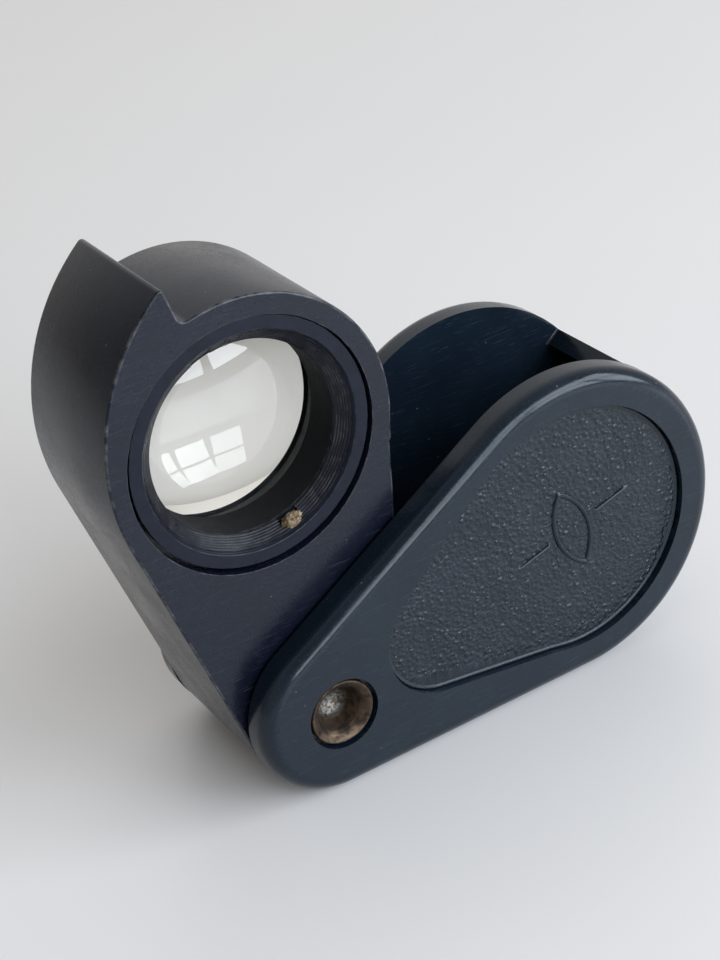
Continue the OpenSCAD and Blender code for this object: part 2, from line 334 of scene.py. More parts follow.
class Look:
    """A Principled material built from nodes, with coordinates in millimetres."""

    def __init__(self, name, **sockets):
        self.mat = bpy.data.materials.new(name)
        self.mat.use_nodes = True
        self.t = self.mat.node_tree
        self.bsdf = self.t.nodes["Principled BSDF"]
        for k, v in sockets.items():
            self.bsdf.inputs[k.replace("_", " ")].default_value = v
        tc = self.t.nodes.new("ShaderNodeTexCoord")
        mp = self.t.nodes.new("ShaderNodeMapping")
        mp.inputs["Scale"].default_value = (1 / MM,) * 3
        self.t.links.new(tc.outputs["Object"], mp.inputs["Vector"])
        self.coords = mp.outputs["Vector"]

    def put(self, socket, value):
        if hasattr(value, "is_output"):
            self.t.links.new(value, socket)
        else:
            socket.default_value = value

    def mapped(self, scale=(1, 1, 1), turn=(0, 0, 0), shift=(0, 0, 0)):
        mp = self.t.nodes.new("ShaderNodeMapping")
        mp.inputs["Rotation"].default_value = [math.radians(a) for a in turn]
        mp.inputs["Scale"].default_value = scale
        mp.inputs["Location"].default_value = shift
        self.put(mp.inputs["Vector"], self.coords)
        return mp.outputs["Vector"]

    def noise(self, scale, detail=3, rough=0.5, vec=None, distortion=0.0):
        n = self.t.nodes.new("ShaderNodeTexNoise")
        self.put(n.inputs["Vector"], vec or self.coords)
        n.inputs["Scale"].default_value = scale
        n.inputs["Detail"].default_value = detail
        n.inputs["Roughness"].default_value = rough
        n.inputs["Distortion"].default_value = distortion
        return n.outputs["Fac"]

    def cells(self, scale, vec):
        n = self.t.nodes.new("ShaderNodeTexVoronoi")
        self.put(n.inputs["Vector"], vec)
        n.inputs["Scale"].default_value = scale
        return n.outputs["Distance"]

    def fit(self, value, lo, hi, a=0.0, b=1.0):
        n = self.t.nodes.new("ShaderNodeMapRange")
        n.clamp = True
        self.put(n.inputs["Value"], value)
        for key, v in zip(("From Min", "From Max", "To Min", "To Max"), (lo, hi, a, b)):
            n.inputs[key].default_value = v
        return n.outputs["Result"]

    def calc(self, op, a, b=0.0):
        n = self.t.nodes.new("ShaderNodeMath")
        n.operation = op
        self.put(n.inputs[0], a)
        self.put(n.inputs[1], b)
        return n.outputs[0]

    def blend(self, fac, a, b):
        n = self.t.nodes.new("ShaderNodeMix")
        n.data_type = "RGBA"
        self.put(n.inputs["Factor"], fac)
        for s, v in ((n.inputs[6], a), (n.inputs[7], b)):
            self.put(s, (*v, 1) if isinstance(v, tuple) else v)
        return n.outputs[2]

    def attribute(self, name):
        n = self.t.nodes.new("ShaderNodeAttribute")
        n.attribute_name = name
        return n.outputs["Fac"]

    def axis(self, k):
        n = self.t.nodes.new("ShaderNodeSeparateXYZ")
        self.put(n.inputs[0], self.coords)
        return n.outputs[k]

    def radius(self, c):
        """Distance from the Y axis through c, in millimetres."""
        n = self.t.nodes.new("ShaderNodeVectorMath")
        n.operation = "LENGTH"
        self.put(n.inputs[0], self.mapped((1, 0, 1), shift=(-c[0], 0, -c[1])))
        return n.outputs["Value"]

    def bump(self, height, distance, strength=1.0):
        n = self.t.nodes.new("ShaderNodeBump")
        n.inputs["Strength"].default_value = strength
        n.inputs["Distance"].default_value = distance * MM
        self.put(n.inputs["Height"], height)
        self.put(self.bsdf.inputs["Normal"], n.outputs["Normal"])

    def use(self, **links):
        for k, v in links.items():
            self.put(self.bsdf.inputs[k.replace("_", " ")], v)
        return self.mat


def scratches(look, turn, density, thin=14.0, length=0.5):
    """Fine straight marks: stretched noise cut off near its peaks."""
    a = look.noise(density, 2, 0.5, look.mapped((length, thin, thin), turn))
    return look.fit(a, 0.665, 0.70)


def plastic(name, base, worn, rough, seed=0.0):
    look = Look(name, Specular_IOR_Level=0.36, IOR=1.5, Specular_Tint=(0.9, 0.97, 1.0, 1))
    wide = look.noise(0.16, 3, 0.55, look.mapped(shift=(seed, 3 + seed, 7)))
    fine = look.noise(2.4, 4, 0.6, look.mapped(shift=(1 + seed, 9, seed)))
    marks = look.calc("MAXIMUM", scratches(look, (10, 24, 32), 0.9),
                      scratches(look, (-14, -48, 75), 0.7, 18.0, 0.35))
    dust = look.fit(look.cells(0.42, look.mapped(shift=(5 + seed, 2, 8))), 0.022, 0.04, 1.0, 0.0)
    edge = look.calc("MULTIPLY", look.attribute("edge_wear"),
                     look.fit(look.noise(0.7, 4, 0.6), 0.42, 0.66))
    tone = look.blend(look.fit(wide, 0.3, 0.7), base, tuple(c * 1.35 for c in base))
    tone = look.blend(look.calc("MULTIPLY", edge, 0.7), tone, worn)
    tone = look.blend(look.calc("MULTIPLY", marks, 0.16), tone, worn)
    tone = look.blend(look.calc("MULTIPLY", dust, 0.35), tone, (0.22, 0.215, 0.2))
    r = look.calc("ADD", look.fit(wide, 0.3, 0.7, rough - 0.05, rough + 0.06),
                  look.fit(fine, 0.3, 0.7, -0.03, 0.05))
    r = look.calc("ADD", r, look.calc("MULTIPLY", look.calc("MAXIMUM", marks, dust), 0.2))
    h = look.calc("ADD", look.calc("MULTIPLY", fine, 0.006), look.calc("MULTIPLY", wide, 0.05))
    h = look.calc("SUBTRACT", h, look.calc("MULTIPLY", marks, 0.003))
    look.bump(look.calc("ADD", h, look.calc("MULTIPLY", dust, 0.02)), 1.0, 0.6)
    return look.use(Base_Color=tone, Roughness=r)


def grained(name):
    look = Look(name, Specular_IOR_Level=0.4, IOR=1.5, Specular_Tint=(0.9, 0.97, 1.0, 1))
    fine = look.noise(7, 3, 0.6)
    wide = look.noise(0.25, 2, 0.5)
    dust = look.fit(look.cells(0.42, look.mapped(shift=(3, 4, 1))), 0.025, 0.045, 1.0, 0.0)
    tone = look.blend(look.fit(wide, 0.3, 0.7), (0.005, 0.009, 0.015), (0.008, 0.013, 0.021))
    tone = look.blend(look.calc("MULTIPLY", dust, 0.5), tone, (0.25, 0.25, 0.24))
    r = look.fit(look.calc("ADD", fine, wide), 0.6, 1.4, 0.2, 0.34)
    look.bump(fine, 0.02, 0.5)
    return look.use(Base_Color=tone, Roughness=r)


def turned_black(name, c, base, rough, pitch=9.0):
    """Black-finished turned metal: fine circular tool marks, a little dust."""
    look = Look(name, Specular_IOR_Level=0.24, IOR=1.5, Specular_Tint=(0.86, 0.93, 1.0, 1))
    rad = look.radius(c)
    lines = look.calc("SINE", look.calc("MULTIPLY", rad, pitch * 2 * math.pi))
    along = look.calc("SINE", look.calc("MULTIPLY", look.axis(1), pitch * 2 * math.pi))
    grime = look.noise(0.9, 4, 0.6)
    dust = look.fit(look.noise(9, 2, 0.5), 0.70, 0.76)
    tone = look.blend(look.fit(grime, 0.35, 0.7), base, tuple(v * 1.9 for v in base))
    tone = look.blend(look.calc("MULTIPLY", dust, 0.4), tone, (0.2, 0.19, 0.17))
    edge = look.calc("MULTIPLY", look.attribute("edge_wear"), look.fit(look.noise(1.1, 3, 0.6), 0.45, 0.62))
    tone = look.blend(look.calc("MULTIPLY", edge, 0.35), tone, (0.10, 0.10, 0.105))
    r = look.fit(grime, 0.3, 0.7, rough, rough + 0.14)
    h = look.calc("ADD", look.calc("MULTIPLY", lines, 0.004), look.calc("MULTIPLY", along, 0.004))
    look.bump(look.calc("ADD", h, look.calc("MULTIPLY", dust, 0.02)), 1.0, 0.8)
    return look.use(Base_Color=tone, Roughness=r)


def metal(name, base, dark, rough, dirt, pit=None):
    """Stained metal; pit is the y where a rough grey patch at the bottom of a bowl begins."""
    look = Look(name, Metallic=1.0)
    grime = look.noise(dirt, 5, 0.65)
    fine = look.noise(8, 3, 0.6)
    tone = look.blend(look.fit(grime, 0.38, 0.62), dark, base)
    if pit is not None:
        patch = look.calc("MULTIPLY", look.fit(look.axis(1), pit, pit + 0.7),
                          look.fit(look.noise(2.6, 4, 0.7), 0.42, 0.56))
        patch = look.calc("MULTIPLY", patch, look.fit(look.axis(1), pit + 2, pit + 3, 1.0, 0.0))
        tone = look.blend(patch, tone, (0.27, 0.27, 0.26))
    r = look.fit(look.calc("ADD", grime, fine), 0.7, 1.3, rough + 0.2, rough)
    look.bump(look.calc("ADD", fine, grime), 0.03, 0.6)
    return look.use(Base_Color=tone, Roughness=r)


def glass(name, tint, ior):
    look = Look(name, Transmission_Weight=1.0, IOR=ior)
    film = look.noise(0.5, 4, 0.6, look.mapped(shift=(2, 5, 1)))
    dust = look.fit(look.noise(5, 2, 0.5), 0.72, 0.78)
    r = look.calc("ADD", look.fit(film, 0.5, 0.8, 0.0, 0.03), look.calc("MULTIPLY", dust, 0.15))
    tone = look.blend(look.fit(film, 0.3, 0.8), tint, tuple(v * 0.985 for v in tint))
    return look.use(Base_Color=tone, Roughness=r)


def cement(name):
    """The cemented faces: light goes straight through, with a trace of yellowing."""
    look = Look(name, Transmission_Weight=1.0, IOR=1.0, Roughness=0.0)
    age = look.noise(0.3, 3, 0.5)
    return look.use(Base_Color=look.blend(age, (0.985, 0.985, 0.975), (0.965, 0.965, 0.945)))


def lens_edge(name):
    look = Look(name, Specular_IOR_Level=0.4, IOR=1.5)
    grime = look.noise(2.2, 4, 0.65)
    tone = look.blend(look.fit(grime, 0.35, 0.65), (0.16, 0.17, 0.17), (0.30, 0.31, 0.30))
    look.bump(grime, 0.02, 0.5)
    return look.use(Base_Color=tone, Roughness=look.fit(grime, 0.3, 0.7, 0.45, 0.7))


def varnish(name):
    look = Look(name, Specular_IOR_Level=0.5, Coat_Weight=0.3)
    lumps = look.noise(1.6, 4, 0.7)
    tone = look.blend(look.fit(lumps, 0.5, 0.72), (0.13, 0.085, 0.035), (0.42, 0.38, 0.30))
    look.bump(lumps, 0.15, 0.8)
    return look.use(Base_Color=tone, Roughness=look.fit(lumps, 0.3, 0.7, 0.3, 0.55))


# ---------------------------------------------------------------- numbers of the frame, in millimetres

PIVOT = centre_of("pivot_rivet")
OPTIC = centre_of("lens_barrel") - PIVOT
FRONT_Y, REAR_Y = span_of("case")
HOLD_F, HOLD_R = span_of("lens_holder")
BARREL_F, BARREL_R = span_of("lens_barrel")
SLOT_F, SLOT_R = span_of("front_washer")[0] - 0.02, span_of("rear_washer")[1] + 0.02
OPEN = 75.8
CASE_LEN, SMALL_R, BIG_R = 28.0, 8.1, 15.6
AXIS = math.degrees(math.asin((BIG_R - SMALL_R) / CASE_LEN))
BIG_C = polar(CASE_LEN, AXIS)
EDGE_R = 1.6
WEB_T, WEB_START, WEB_END = 1.8, 16.4, 38.5
RECESS = 0.95
SEAT_R = 3.5
BOSS_R, HEAD_R, LAND_R = 8.05, 13.75, 20.1
HEAD_C = polar(27.1, 19.8 + OPEN)
LAND_C = polar(28.2, 5.5 + OPEN)
OPTIC_DIR = 19.4 + OPEN
RELIEF_R, RELIEF_DEPTH, RELIEF_SHIFT = 11.68, 1.6, 0.25
FLANGE_R, TUBE_R, RING_SEAT_R = 11.4, 11.2, 9.95
LENS_R, OUTER_CURVE, CEMENT_CURVE, FLINT_T = 9.2, 20, 14, 1.2
NOTCH = 31.2 + OPEN
RIM_R, SHANK_R, WASHER_R, SUNK = 3.2, 2.4, 5.5, 0.98


# ---------------------------------------------------------------- outlines

def egg(n=720):
    """Outline of a cheek's recess: three circles along the case's axis."""
    small, mid, big = polar(12, AXIS + 1.5), polar(25.9, AXIS + 1.4), polar(27.6, AXIS + 0.4)
    shapes = [tear(small, 6.2, mid, 12.0), tear(mid, 12.0, big, 12.4)]
    pts = []
    for k in range(n):
        t = 2 * math.pi * k / n
        d = np.array([math.cos(t), math.sin(t)])
        best = 0.0
        for s in shapes:
            e = np.roll(s, -1, 0) - s
            w = s - mid
            den = d[0] * e[:, 1] - d[1] * e[:, 0]
            with np.errstate(divide="ignore", invalid="ignore"):
                r = (w[:, 0] * e[:, 1] - w[:, 1] * e[:, 0]) / den
                q = (w[:, 0] * d[1] - w[:, 1] * d[0]) / den
            ok = (r > 0) & (q >= -1e-6) & (q <= 1 + 1e-6)
            best = max(best, r[ok].max())
        pts.append(mid + d * best)
    pts = np.array(pts)
    # even spacing
    closed = np.vstack([pts, pts[:1]])
    s = np.concatenate([[0], np.cumsum(np.linalg.norm(np.diff(closed, axis=0), axis=1))])
    want = np.linspace(0, s[-1], n, endpoint=False)
    return np.stack([np.interp(want, s, closed[:, 0]), np.interp(want, s, closed[:, 1])], 1)


def on_line(p0, d, off, centre, dist):
    """Point p0 + off + s d at a distance from a centre, with the larger s."""
    w = p0 + off - centre
    b = w @ d
    s = -b + math.sqrt(b * b - w @ w + dist * dist)
    return p0 + off + s * d


def holder_outline():
    """Outline of the lens holder at rest, with the pivot at the origin."""
    zero = np.zeros(2)
    right = tangent_n(zero, BOSS_R, HEAD_C, HEAD_R, -1)
    left = tangent_n(zero, BOSS_R, LAND_C, LAND_R, 1)
    # the horn's straight face, as a point on it, its direction and its outward normal
    face = np.array([-7.2, 41.42])
    up = unit((-0.2708, 0.9626))
    out = np.array([up[1], -up[0]])
    tip_r, root_r = 0.42, 0.8
    tip = on_line(face, up, -tip_r * out, LAND_C, LAND_R - tip_r)
    root = on_line(face, up, root_r * out, HEAD_C, HEAD_R + root_r)
    boss = arc(zero, BOSS_R, angle_of(left) % 360, angle_of(right) + 360, 90)
    # a short flat and a small step where the neck meets the head
    step = [(10.1, 17.4), (10.46, 22.25), (10.5, 22.42), (10.63, 22.52), (10.69, 22.66)]
    head_end = angle_of(root - HEAD_C)
    head = arc(HEAD_C, HEAD_R, angle_of(right), head_end, 120)
    fillet_end = angle_of(-out)
    if fillet_end > head_end - 180:
        fillet_end -= 360
    fillet = arc(root, root_r, head_end - 180, fillet_end, 10)
    tip_arc = arc(tip, tip_r, angle_of(out), angle_of(tip - LAND_C), 10)
    land = arc(LAND_C, LAND_R, angle_of(tip - LAND_C), angle_of(left) % 360, 110)
    return joined(boss, line(boss[-1], step[0], 24), line(step[0], step[1], 6),
                  [np.array(p) for p in step[1:]], line(step[-1], head[0], 4), head, fillet,
                  line(fillet[-1], tip_arc[0], 5), tip_arc, land, line(land[-1], boss[0], 30))


# ---------------------------------------------------------------- the case

def case_piece():
    outline = tear((0, 0), SMALL_R, BIG_C, BIG_R, 168, 96, 40)
    nrm = normals_of(outline)
    # rings close to the slot keep the shading of the outer band even where the slot opens it
    stations = rounding(EDGE_R, FRONT_Y, 10) + [(0, SLOT_F - 0.7), (0, SLOT_F - 0.3)]
    stations += [(d, -y) for d, y in reversed(stations)]
    body = skinned("case_shell", [at(inset(outline, d, nrm), y, PIVOT) for d, y in stations])

    # the slot between the cheeks, with a small fillet where it meets them
    def gap_loop(e):
        far = 70.0
        inner = BIG_R - WEB_T - e
        turn = math.degrees(e / inner)
        low = -(SMALL_R - WEB_T) + e
        x0 = WEB_START - e
        curve = arc(BIG_C, inner, -90, WEB_END + turn, 96)
        return np.array([(x0, -far), (x0, low), *line((x0, low), curve[0], 12)[1:-1], *curve,
                         BIG_C + polar(far, WEB_END + turn * 0.3), (far, far), (-far, far), (-far, -far)])

    ys = rounding(0.25, SLOT_F, 8)
    ys += [(e, SLOT_R - (y - SLOT_F)) for e, y in reversed(ys)]
    cutters = [skinned("slot_cut", [at(gap_loop(e), y, PIVOT) for e, y in ys])]

    # the panels' recesses, with a small fillet round the floor
    recess = egg(360)
    rn = normals_of(recess)
    depths = ((0, 1.0), (0, -RECESS + 0.06), (0.06, -RECESS))
    for out, face in ((-1, FRONT_Y), (1, REAR_Y)):
        rings = [at(inset(recess, d, rn), face + out * y, PIVOT) for d, y in depths]
        cutters.append(skinned("recess_cut", rings))

    # the rivet's bore and its counterbores
    s = Shell()
    bore, f, r = SHANK_R + 0.02, FRONT_Y, REAR_Y
    lathe(s, PIVOT, [(0, f - 1), (SEAT_R, f - 1), (SEAT_R, f + 1), (bore, f + 1),
                     (bore, r - 1), (SEAT_R, r - 1), (SEAT_R, r + 1), (0, r + 1)], 128, False)
    cutters.append(link(s.mesh("bore_cut"), "bore_cut"))
    cut(body, *cutters)
    bevelled(body, 0.16, 3)
    mark_edges(body, 0.12)
    smoothed(body)
    return finish_piece(body, "case_body", ["case"], "case_plastic", MAT["case"])


# ---------------------------------------------------------------- the grip panels

def emblem():
    """The emblem's lines: the outline of a lens, and its axis on both sides of it."""
    bulge, shift, near, far = 6.0, 4.2, 2.9, 6.3
    half = math.degrees(math.acos(shift / bulge))
    runs = [arc((shift, 0), bulge, 180 - half, 180 + half, 60), arc((-shift, 0), bulge, -half, half, 60),
            line((near, 0), (far, 0), 24), line((-far, 0), (-near, 0), 24)]
    a = math.radians(AXIS)
    rot = np.array([[math.cos(a), -math.sin(a)], [math.sin(a), math.cos(a)]])
    return [np.array(r) @ rot.T + polar(27.6, AXIS + 0.4) for r in runs]


def distance_to(runs, pts):
    """Distance from each point to the nearest of the lines."""
    best = np.full(len(pts), 1e9)
    for run in runs:
        for a, b in zip(run, run[1:]):
            ab = b - a
            t = np.clip(((pts - a) @ ab) / (ab @ ab), 0, 1)
            best = np.minimum(best, np.linalg.norm(pts - a - t[:, None] * ab, axis=1))
    return best


def pebble(x, z, seed):
    """Height of the leather-like grain, from 0 to about 1."""
    p = Vector((x, z, seed))
    wobble = Vector((noise.noise(p * 1.1), noise.noise(p * 1.1 + Vector((9, 4, 2))), 0)) * 0.35
    q = Vector((x / 0.50, z / 0.40, seed)) + wobble
    d = noise.voronoi(q)[0]
    cell = min(1.0, (d[1] - d[0]) * 2.2)
    rough = 0.5 + 0.5 * noise.fractal(p * 2.6, 1.0, 2.1, 4)
    return 0.5 * cell * cell * (3 - 2 * cell) * (0.55 + 0.9 * rough) + 0.5 * rough


def thinned(pts, pitch):
    """The first of the points in each square of a grid."""
    seen, keep = set(), []
    for i, p in enumerate(pts):
        key = (int(p[0] // pitch), int(p[1] // pitch))
        if key not in seen:
            seen.add(key)
            keep.append(i)
    return pts[keep]


def points_along(runs):
    """Points on the lines and beside them, close together across them."""
    out = []
    for run in runs:
        seg = np.linalg.norm(np.diff(run, axis=0), axis=1)
        length = np.concatenate([[0], np.cumsum(seg)])
        want = np.arange(0, length[-1] + 0.05, 0.1)
        fine = np.stack([np.interp(want, length, run[:, 0]), np.interp(want, length, run[:, 1])], 1)
        along = np.gradient(fine, axis=0)
        across = np.stack([along[:, 1], -along[:, 0]], 1)
        across /= np.linalg.norm(across, axis=1)[:, None]
        for off in (-0.33, -0.255, -0.23, -0.18, -0.1, 0, 0.1, 0.18, 0.23, 0.255, 0.33):
            out.append(fine + across * off)
    return thinned(np.vstack(out), 0.025)


def points_inside(loop, pitch, lo, hi):
    """Points of a staggered grid between lo and hi that lie inside a convex loop."""
    gx, gz = np.arange(lo[0], hi[0], pitch), np.arange(lo[1], hi[1], pitch * 0.866)
    xx, zz = np.meshgrid(gx, gz)
    xx = xx + (np.arange(len(gz)) % 2)[:, None] * pitch / 2
    pts = np.stack([xx.ravel(), zz.ravel()], 1)
    inside = np.ones(len(pts), bool)
    for p0, d in zip(loop, np.roll(loop, -1, 0) - loop):
        inside &= (d[0] * (pts[:, 1] - p0[1]) - d[1] * (pts[:, 0] - p0[0])) > 0
    return pts[inside]


def panel_piece(name, node, floor_y, out, runs, seed):
    """A grip panel on a recess floor; out is the side it faces and runs are its raised lines."""
    edge = egg(540)
    en = normals_of(edge)
    s = Shell()
    field = 0.24
    # edge, crest and slope of the border, then the field
    steps = [(0.10, 0.02), (0.10, 0.30), (0.13, 0.345), (0.19, 0.36), (0.27, 0.34), (0.36, 0.29),
             (0.44, field), (0.52, field)]
    loops = [inset(edge, d, en) for d, _ in steps]
    rings = [s.ring(at(l, floor_y + out * h, PIVOT)) for l, (_, h) in zip(loops, steps)]
    s.rise(rings)
    s.cap(rings[0])
    rim = loops[-1]
    pts = points_inside(inset(edge, steps[-1][0] + 0.08, en)[::3], 0.125, rim.min(0), rim.max(0))
    if runs:
        pts = np.vstack([pts[distance_to(runs, pts) > 0.38], points_along(runs)])
    count = len(rim)
    verts = [Vector(p) for p in rim] + [Vector(p) for p in pts]
    edges = [(i, (i + 1) % count) for i in range(count)]
    got, _, faces, orig, _, _ = delaunay_2d_cdt(verts, edges, [], 1, 1e-6)
    flat = np.array([(v.x, v.y) for v in got])
    dist = distance_to(runs, flat) if runs else np.full(len(got), 9.0)
    made = []
    # distance to the rim, for a calm margin
    calm = np.full(len(got), 9.0)
    for k in range(0, count, 2):
        calm = np.minimum(calm, np.linalg.norm(flat - rim[k], axis=1))
    for i, v in enumerate(got):
        src = [j for j in orig[i] if j < count]
        if src:
            made.append(rings[-1][src[0]])
            continue
        ease = min(1.0, calm[i] / 0.2)
        h = field + (0.19 * pebble(v.x, v.y, seed) - 0.09) * ease
        if dist[i] < 0.33:
            t = math.sqrt(max(0.0, 1 - (dist[i] / 0.25) ** 2))
            h = max(min(h, field - 0.01), field - 0.04 + 0.25 * t)
        made.append(s.bm.verts.new((v.x + PIVOT[0], floor_y + out * h, v.y + PIVOT[1])))
    for f in faces:
        s.bm.faces.new([made[i] for i in f])
    o = link(s.mesh(name), name)
    smoothed(o, 60, False)
    return finish_piece(o, "case_body", [node], "grained_panel", MAT["grain"])


# ---------------------------------------------------------------- the holder

def holder_piece():
    outline = holder_outline()
    nrm = normals_of(outline)
    s = Shell()
    stations = rounding(0.22, HOLD_F, 4)
    back = [(d, HOLD_R - (y - HOLD_F)) for d, y in reversed(stations)]
    rings = [s.ring(at(inset(outline, d, nrm), y, PIVOT)) for d, y in stations + back]
    s.rise(rings)
    n = 256
    eye = OPTIC + PIVOT
    relief = OPTIC - polar(RELIEF_SHIFT, OPTIC_DIR) + PIVOT
    lip, bore, stop = 0.06, TUBE_R + 0.05, TUBE_R - 0.9
    ledge, shelf = HOLD_F + RELIEF_DEPTH, HOLD_R - 1.0
    # the relief, the barrel's bore and the rear lip, each as (centre, radius, y)
    inner = [(relief, RELIEF_R + lip, HOLD_F), (relief, RELIEF_R + lip * 0.3, HOLD_F + lip * 0.3),
             (relief, RELIEF_R, HOLD_F + lip), (relief, RELIEF_R, ledge), (eye, bore, ledge),
             (eye, bore, shelf), (eye, stop, shelf), (eye, stop, HOLD_R - 0.35),
             (eye, stop + 0.15, HOLD_R - 0.06), (eye, stop + 0.3, HOLD_R)]
    bores = [s.ring(circle_pts(c, r, y, n)) for c, r, y in inner]
    s.rise(bores)
    pin = [s.ring(circle_pts(PIVOT, 2.45, y, 96)) for y in (HOLD_F, HOLD_R)]
    s.rise(pin)
    s.plate(rings[0], bores[0], pin[0])
    s.plate(rings[-1], bores[-1], pin[-1])
    o = link(s.mesh("holder_body_shell"), "holder_body_shell")
    mark_edges(o)
    smoothed(o)
    return finish_piece(o, "holder_body", ["lens_holder"], "holder_plastic", MAT["holder"])


# ---------------------------------------------------------------- the lens mount

def barrel_piece():
    c = OPTIC + PIVOT
    f, r = BARREL_F, BARREL_R
    flange, seat = HOLD_F + RELIEF_DEPTH - 0.05, span_of("front_retaining_ring")[1] + 0.02
    bore, lip, stop = LENS_R + 0.05, LENS_R - 0.6, 4.69
    profile = eased([(RING_SEAT_R, f + 0.34), (RING_SEAT_R + 0.25, f), (FLANGE_R, f), (FLANGE_R, flange),
                     (TUBE_R, flange), (TUBE_R, r), (LENS_R, r), (lip, 5.2), (lip, stop), (bore, stop),
                     (bore, seat), (RING_SEAT_R, seat)], 0.1, 4)
    s = Shell()
    lathe(s, c, profile, 256)
    o = link(s.mesh("barrel_shell"), "barrel_shell")
    mark_edges(o, 0.12)
    smoothed(o)
    return finish_piece(o, "holder_body", ["lens_barrel"], "barrel_black", MAT["barrel"])


def ring_piece():
    c = OPTIC + PIVOT
    f, r = span_of("front_retaining_ring")
    mouth, throat, outer = 9.9, 8.85, 9.93
    start, end = f + 0.3, r - 0.12
    lines, depth, half = 5, 0.022, 0.05
    # a cone with fine turned lines in it
    pts = [(mouth, start)]
    for k in range(1, lines + 1):
        for off, down in ((-half, 0), (0, depth), (half, 0)):
            t = k / (lines + 1) + off / 1.4
            pts.append((mouth + (throat - mouth) * t + down, start + (end - start) * t + down))
    pts += [(throat, end), (throat, r), (outer, r), (outer, start)]
    s = Shell()
    lathe(s, c, eased(pts, 0.02, 2), 256)
    o = link(s.mesh("groove_ring"), "groove_ring")
    cutters = []
    for turn in (0, 180):
        u, v = polar(1, NOTCH + turn), polar(1, NOTCH + turn + 90)
        loop = [c + u * x + v * w for x, w in ((8, -1), (9.55, -1), (9.55, 1), (8, 1))]
        cutters.append(skinned("notch_cut", [at(loop, y) for y in (f - 1, r + 1)]))
    cut(o, *cutters)
    mark_edges(o, 0.08)
    smoothed(o)
    return finish_piece(o, "holder_body", ["front_retaining_ring"], "ring_black", MAT["ring"])


def sleeve_piece():
    c = OPTIC + PIVOT
    f, r = span_of("spacer_sleeve")
    s = Shell()
    lathe(s, c, eased([(LENS_R - 0.4, f), (LENS_R, f), (LENS_R, r), (LENS_R - 0.4, r)], 0.06, 3), 256)
    o = link(s.mesh("sleeve_shell"), "sleeve_shell")
    mark_edges(o, 0.05)
    smoothed(o)
    return finish_piece(o, "holder_body", ["spacer_sleeve"], "sleeve_black", MAT["sleeve"])


def sag(curve, r):
    return curve - math.sqrt(curve * curve - r * r)


def cap_curve(pole, curve, toward, r_max, n):
    """(radius, y) points of a spherical face, from the pole outwards; toward is the side of its centre."""
    out = []
    for k in range(n + 1):
        r = r_max * k / n
        out.append((r, pole + toward * sag(curve, r)))
    return out


def lens_piece(name, node, front, rear, slot, mats, bevel=0.12):
    """A lens; front and rear are (pole, curve, toward, is it an outer face), mats glass, edge and cement."""
    c = OPTIC + PIVOT
    n = 40
    a = cap_curve(*front[:3], LENS_R - bevel, n)
    b = cap_curve(*rear[:3], LENS_R - bevel, n)
    s = Shell()
    mid_a = (LENS_R, a[-1][1] + 0.08)
    mid_b = (LENS_R, b[-1][1] - 0.08)
    profile = a + [mid_a, mid_b] + b[::-1]
    lathe(s, c, profile, 192, False)
    me = s.mesh(name)
    o = link(me, name)
    rim = (LENS_R - bevel - 0.01) * MM
    cx, cz = c * MM
    index = np.zeros(len(me.polygons), np.int32)
    for p in me.polygons:
        k = p.center
        radial = math.hypot(k.x - cx, k.z - cz)
        if radial > rim:
            index[p.index] = 1
            continue
        yf = front[0] + front[2] * sag(front[1], radial / MM)
        yr = rear[0] + rear[2] * sag(rear[1], radial / MM)
        near_front = abs(k.y / MM - yf) < abs(k.y / MM - yr)
        outer = front[3] if near_front else rear[3]
        index[p.index] = 0 if outer else 2
    o = finish_piece(o, "holder_body", [node], slot, *mats)
    o.data.polygons.foreach_set("material_index", index)
    smoothed(o, 50, False)
    return o


def glass_pieces():
    front_pole = span_of("front_flint_lens")[0]
    rear_pole = span_of("rear_flint_lens")[1]
    crown_f, crown_r = span_of("crown_lens")
    flint, crown = MAT["flint"], MAT["crown"]
    edge, glue = MAT["lens_edge"], MAT["cement"]
    outer, inner = OUTER_CURVE, CEMENT_CURVE
    lens_piece("front_flint_glass", "front_flint_lens", (front_pole, outer, 1, True),
               (front_pole + FLINT_T, inner, 1, False), "flint_glass", (flint, edge, glue))
    lens_piece("crown_glass", "crown_lens", (crown_f, inner, 1, False), (crown_r, inner, -1, False),
               "crown_glass", (crown, edge, glue))
    lens_piece("rear_flint_glass", "rear_flint_lens", (rear_pole - FLINT_T, inner, -1, False),
               (rear_pole, outer, -1, True), "flint_glass", (flint, edge, glue))


def varnish_piece():
    """A dab of dried locking varnish in the lower notch of the retaining ring."""
    c = OPTIC + PIVOT
    spot = c + polar(9.4, NOTCH + 180)
    bm = bmesh.new()
    bmesh.ops.create_icosphere(bm, subdivisions=5, radius=1.0)
    (ux, uz), (vx, vz) = polar(1, NOTCH + 180), polar(1, NOTCH + 270)
    u, v = Vector((ux, 0, uz)), Vector((vx, 0, vz))
    for vert in bm.verts:
        p = vert.co.copy()
        lump = 1 + 0.35 * noise.fractal(p * 1.6 + Vector((3, 1, 7)), 1.0, 2.0, 4) \
            + 0.1 * noise.noise(p * 6)
        p *= lump
        q = u * p.x * 0.55 + v * p.y * 0.95 + Vector((0, 1, 0)) * p.z * 0.7
        vert.co = (Vector((spot[0], BARREL_F + 0.72, spot[1])) + q) * MM
    me = bpy.data.meshes.new("locking_varnish")
    bm.to_mesh(me)
    bm.free()
    o = link(me, "locking_varnish")
    smoothed(o, 80, False)
    return finish_piece(o, "holder_body", [], None, MAT["varnish"])


# ---------------------------------------------------------------- the pivot

